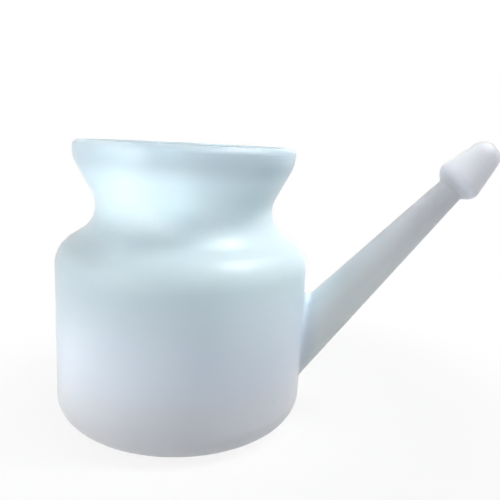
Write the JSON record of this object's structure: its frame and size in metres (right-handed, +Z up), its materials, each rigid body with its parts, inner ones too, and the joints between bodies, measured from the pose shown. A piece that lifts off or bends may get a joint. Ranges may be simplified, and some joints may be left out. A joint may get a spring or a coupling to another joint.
{
  "type": "neti pot",
  "caption": "One-piece plastic nasal rinsing pot: a round pot with a waisted neck and a flared mouth with a turned-in lip, and a slanted tapered spout that ends in a rounded nozzle.",
  "frame": {"origin": "middle of the standing ring under the pot, at table level", "axes": "+Z up along the pot's own axis, +X towards the spout, and the spout's axis lies in the XZ plane"},
  "size_m": [0.1557, 0.09, 0.1043],
  "materials": {
    "shell": "pale blue-white semi-gloss polyethylene, slightly translucent"
  },
  "bodies": {
    "root": {"pot": "shell"}
  },
  "joints": []
}
